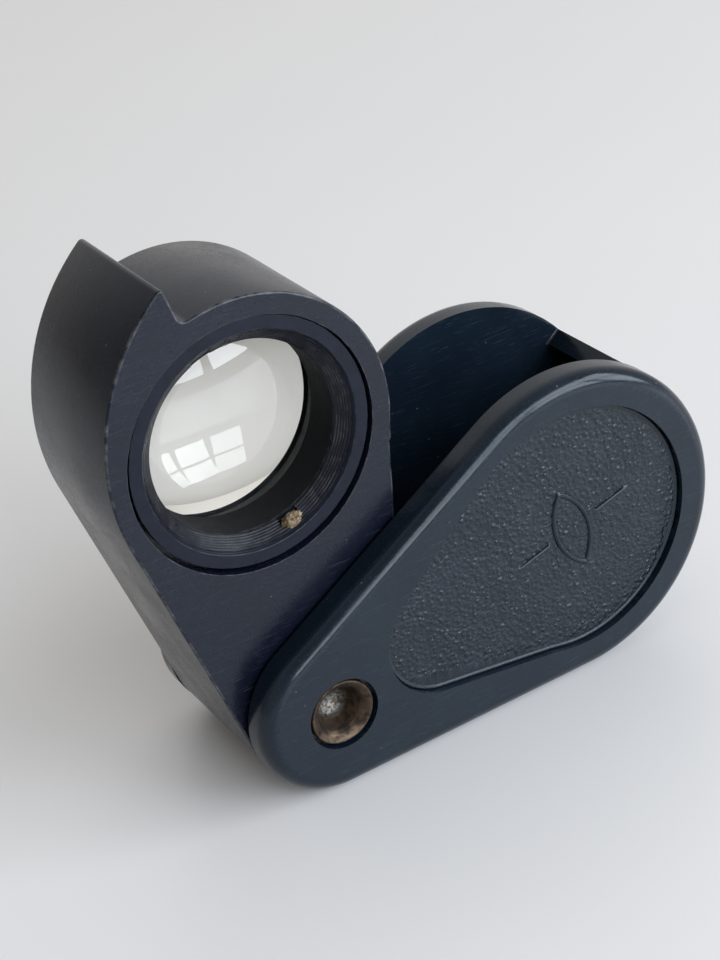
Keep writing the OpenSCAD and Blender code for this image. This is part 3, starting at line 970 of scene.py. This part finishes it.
def rivet_piece():
    rim = FRONT_Y + 0.25
    shoulder = FRONT_Y + SUNK
    head = REAR_Y - SUNK
    # the bowl, the rolled rim, the shank and the closed head
    pts = [(0, rim + 3.0), (0.5, rim + 2.95), (0.95, rim + 2.78), (1.36, rim + 2.46), (1.68, rim + 2.02),
           (1.9, rim + 1.55), (2.06, rim + 1.12), (2.22, rim + 0.78), (2.44, rim + 0.46), (2.7, rim + 0.2),
           (2.88, rim + 0.06)]
    pts += [(3.0, rim), (3.1, rim), (RIM_R - 0.01, rim + 0.12), (RIM_R, shoulder), (SHANK_R, shoulder),
            (SHANK_R, head), (RIM_R, head), (RIM_R, head + 0.45), (3.08, head + 0.6), (2.7, head + 0.69),
            (1.4, head + 0.71), (0, head + 0.71)]
    pts = eased(pts, 0.1, 3, closed=False)
    s = Shell()
    lathe(s, PIVOT, pts, 160, False)
    o = link(s.mesh("rivet_shell"), "rivet_shell")
    # hammer marks in the bowl
    for v in o.data.vertices:
        p = v.co / MM
        r = math.hypot(p.x - PIVOT[0], p.z - PIVOT[1])
        if r < 3.05 and p.y < rim + 3.2:
            v.co.y += 0.05 * MM * noise.noise(p * 0.9) * min(1, (3.05 - r) * 3)
    smoothed(o, 50, False)
    return finish_piece(o, "case_body", ["pivot_rivet"], "rivet_brass", MAT["rivet"])


def washer_piece(name, node):
    f, r = span_of(node)
    s = Shell()
    lathe(s, PIVOT, eased([(2.45, f), (WASHER_R, f), (WASHER_R, r), (2.45, r)], 0.05, 3), 160)
    o = link(s.mesh(name), name)
    smoothed(o)
    return finish_piece(o, "case_body", [node], "washer_bronze", MAT["washer"])


# ---------------------------------------------------------------- stage

def camera():
    yaw, pitch, roll = 0.4780547, 0.5228011, -0.1529789
    fw = Vector((math.sin(yaw) * math.cos(pitch), math.cos(yaw) * math.cos(pitch), -math.sin(pitch)))
    rt = Vector((math.cos(yaw), -math.sin(yaw), 0))
    up = rt.cross(fw)
    x = rt * math.cos(roll) + up * math.sin(roll)
    y = -rt * math.sin(roll) + up * math.cos(roll)
    m = Matrix((x, y, -fw)).transposed().to_4x4()
    m.translation = Vector((-81.3997, -151.795, 121.744)) * MM
    data = bpy.data.cameras.new("view")
    data.lens = 80.893
    data.sensor_width = 36
    data.sensor_fit = "AUTO"
    data.clip_start, data.clip_end = 0.01, 20
    cam = bpy.data.objects.new("view", data)
    bpy.context.scene.collection.objects.link(cam)
    cam.matrix_world = m
    bpy.context.scene.camera = cam


def floor():
    s = Shell()
    n = 24
    size = 3000.0
    grid = [[s.bm.verts.new((size * (i / n - 0.5), size * (j / n - 0.5), -0.02)) for i in range(n + 1)]
            for j in range(n + 1)]
    for j in range(n):
        for i in range(n):
            s.bm.faces.new((grid[j][i], grid[j][i + 1], grid[j + 1][i + 1], grid[j + 1][i]))
    o = link(s.mesh("stage_floor"), "stage_floor")
    look = Look("pale_floor", Specular_IOR_Level=0.5, IOR=1.45)
    wide = look.noise(0.012, 3, 0.5)
    smear = look.noise(0.05, 4, 0.6, distortion=1.5)
    tone = look.blend(wide, (0.74, 0.742, 0.75), (0.77, 0.772, 0.778))
    look.use(Base_Color=tone, Roughness=look.fit(smear, 0.35, 0.7, 0.33, 0.37))
    look.bump(look.noise(1.2, 2, 0.5), 0.002, 0.2)
    o.data.materials.append(look.mat)


def area(name, at_mm, look_mm, size, power, colour=(1, 1, 1)):
    data = bpy.data.lights.new(name, "AREA")
    data.shape = "RECTANGLE"
    data.size, data.size_y = size[0] * MM, size[1] * MM
    data.energy = power
    data.color = colour
    o = bpy.data.objects.new(name, data)
    bpy.context.scene.collection.objects.link(o)
    o.location = Vector(at_mm) * MM
    o.rotation_mode = "QUATERNION"
    o.rotation_quaternion = (Vector(look_mm) - Vector(at_mm)).to_track_quat("-Z", "Y")
    return o


def lights():
    bpy.context.scene.view_settings.view_transform = "Standard"
    world = bpy.data.worlds.new("soft_room")
    bpy.context.scene.world = world
    world.use_nodes = True
    t = world.node_tree
    towards = t.nodes.new("ShaderNodeTexCoord").outputs["Generated"]
    total = t.nodes.new("ShaderNodeCombineXYZ")
    for k, v in zip("XYZ", ROOM):
        total.inputs[k].default_value = v
    total = total.outputs[0]
    for direction, inner, outer, colour in GLOWS:
        dot = t.nodes.new("ShaderNodeVectorMath")
        dot.operation = "DOT_PRODUCT"
        t.links.new(towards, dot.inputs[0])
        dot.inputs[1].default_value = Vector(direction).normalized()
        fade = t.nodes.new("ShaderNodeMapRange")
        fade.interpolation_type = "SMOOTHSTEP"
        t.links.new(dot.outputs["Value"], fade.inputs["Value"])
        fade.inputs["From Min"].default_value = math.cos(math.radians(outer))
        fade.inputs["From Max"].default_value = math.cos(math.radians(inner))
        glow = t.nodes.new("ShaderNodeVectorMath")
        glow.operation = "SCALE"
        glow.inputs[0].default_value = colour
        t.links.new(fade.outputs["Result"], glow.inputs["Scale"])
        add = t.nodes.new("ShaderNodeVectorMath")
        t.links.new(total, add.inputs[0])
        t.links.new(glow.outputs[0], add.inputs[1])
        total = add.outputs[0]
    t.links.new(total, t.nodes["Background"].inputs["Color"])
    # a wide window, in panes, from in front of the object round to its right
    for k, azimuth in enumerate(WINDOW["azimuths"]):
        for row, tilt in enumerate(WINDOW["tilts"]):
            a, e = math.radians(azimuth), math.radians(tilt)
            d = WINDOW["distance"]
            spot = (d * math.cos(a) * math.cos(e), d * math.sin(a) * math.cos(e), d * math.sin(e) + 20)
            area(f"pane_{k}_{row}", spot, (0, 0, 20), WINDOW["pane"], WINDOW["power"][k], WINDOW["colour"])


# ---------------------------------------------------------------- the scene

# the room's even light, then its brighter and darker parts: direction, inner and outer angle, colour added
ROOM = (0.415, 0.395, 0.365)
GLOWS = [((0.30, 0.80, 0.52), 8, 62, (0.55, 0.55, 0.56)),
         ((-0.27, -0.66, 0.70), 5, 40, (-0.2, -0.2, -0.19)),
         ((-0.7, 0.6, 0.35), 10, 50, (-0.2, -0.19, -0.18))]
WINDOW = {"azimuths": (-90, -60, -30), "tilts": (14, 32), "distance": 760, "pane": (330, 215),
          "power": (1.35, 1.65, 1.45), "colour": (0.87, 0.925, 1.0)}

MAT = {
    "case": plastic("case_black", (0.005, 0.0095, 0.0165), (0.075, 0.078, 0.082), 0.15),
    "holder": plastic("holder_black", (0.0035, 0.0048, 0.0115), (0.10, 0.10, 0.105), 0.25, 4.0),
    "grain": grained("grained_black"),
    "barrel": turned_black("barrel_finish", OPTIC + PIVOT, (0.0028, 0.0042, 0.0095), 0.26),
    "ring": turned_black("ring_finish", OPTIC + PIVOT, (0.0035, 0.004, 0.0065), 0.24, 6.0),
    "sleeve": turned_black("sleeve_finish", OPTIC + PIVOT, (0.004, 0.004, 0.005), 0.55),
    "flint": glass("flint_clear", (0.985, 0.99, 0.985), 1.58),
    "crown": glass("crown_clear", (0.985, 0.99, 0.98), 1.58),
    "lens_edge": lens_edge("ground_edge"),
    "cement": cement("cement_layer"),
    "rivet": metal("aged_brass", (0.125, 0.092, 0.066), (0.04, 0.031, 0.026), 0.46, 1.1, FRONT_Y + 2.3),
    "washer": metal("bronze_washer", (0.45, 0.31, 0.18), (0.12, 0.08, 0.05), 0.35, 0.8),
    "varnish": varnish("dried_varnish"),
}

camera()
floor()
lights()
case_piece()
panel_piece("front_panel_grain", "front_grip_panel", FRONT_Y + RECESS, -1, emblem(), 1.3)
panel_piece("rear_panel_grain", "rear_grip_panel", REAR_Y - RECESS, 1, [], 6.1)
holder_piece()
barrel_piece()
ring_piece()
sleeve_piece()
glass_pieces()
varnish_piece()
rivet_piece()
washer_piece("front_washer_disc", "front_washer")
washer_piece("rear_washer_disc", "rear_washer")
